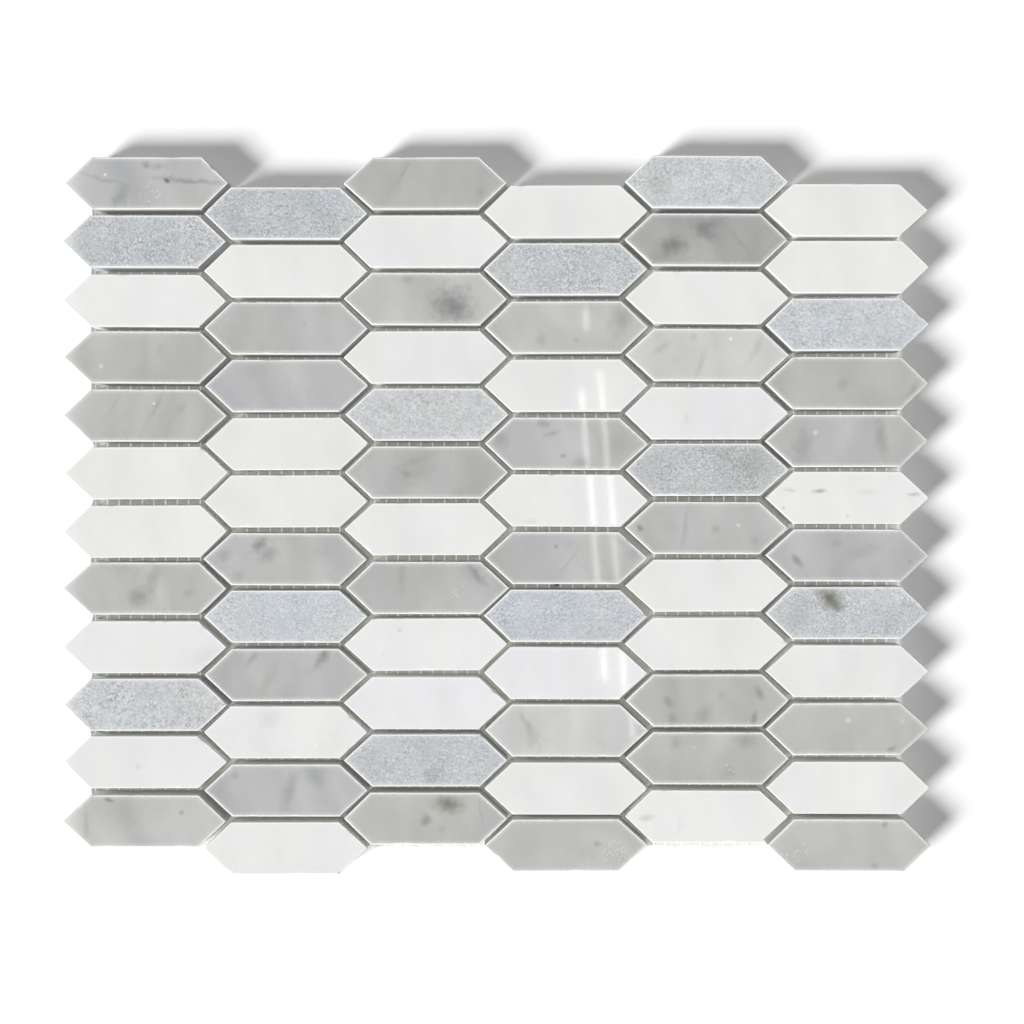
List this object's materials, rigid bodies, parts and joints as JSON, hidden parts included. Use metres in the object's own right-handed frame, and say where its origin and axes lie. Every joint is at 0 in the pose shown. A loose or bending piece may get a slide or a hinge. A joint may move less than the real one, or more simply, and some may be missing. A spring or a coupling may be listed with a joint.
{
  "type": "marble picket mosaic sheet",
  "caption": "Flat mosaic sheet of polished marble pickets, elongated hexagons in interlocking columns, joined at the back by a glass-fibre net in an adhesive film.",
  "frame": {"origin": "under the middle of the sheet's box, on the back face of the adhesive film", "axes": "+X along the pickets, the sheet's longer side; +Y up the sheet, towards the first row; +Z out of the polished face"},
  "size_m": [0.3008, 0.2494, 0.01],
  "materials": {
    "white_marble": "polished",
    "grey_marble": "polished",
    "blue_grey_marble": "polished",
    "adhesive_film": "milky, slightly rough",
    "glass_fibre": "pale coated glass-fibre yarn"
  },
  "bodies": {
    "root": {"white_pickets_column_1": "white_marble", "white_pickets_column_2": "white_marble", "white_pickets_column_3": "white_marble", "white_pickets_column_4": "white_marble", "white_pickets_column_5": "white_marble", "white_pickets_column_6": "white_marble", "grey_pickets_column_1": "grey_marble", "grey_pickets_column_2": "grey_marble", "grey_pickets_column_3": "grey_marble", "grey_pickets_column_4": "grey_marble", "grey_pickets_column_5": "grey_marble", "grey_pickets_column_6": "grey_marble", "blue_grey_pickets_column_1": "blue_grey_marble", "blue_grey_pickets_column_2": "blue_grey_marble", "blue_grey_pickets_column_3": "blue_grey_marble", "blue_grey_pickets_column_4": "blue_grey_marble", "blue_grey_pickets_column_5": "blue_grey_marble", "blue_grey_pickets_column_6": "blue_grey_marble", "adhesive_film": "adhesive_film", "upright_threads": "glass_fibre", "cross_threads": "glass_fibre"}
  },
  "joints": []
}
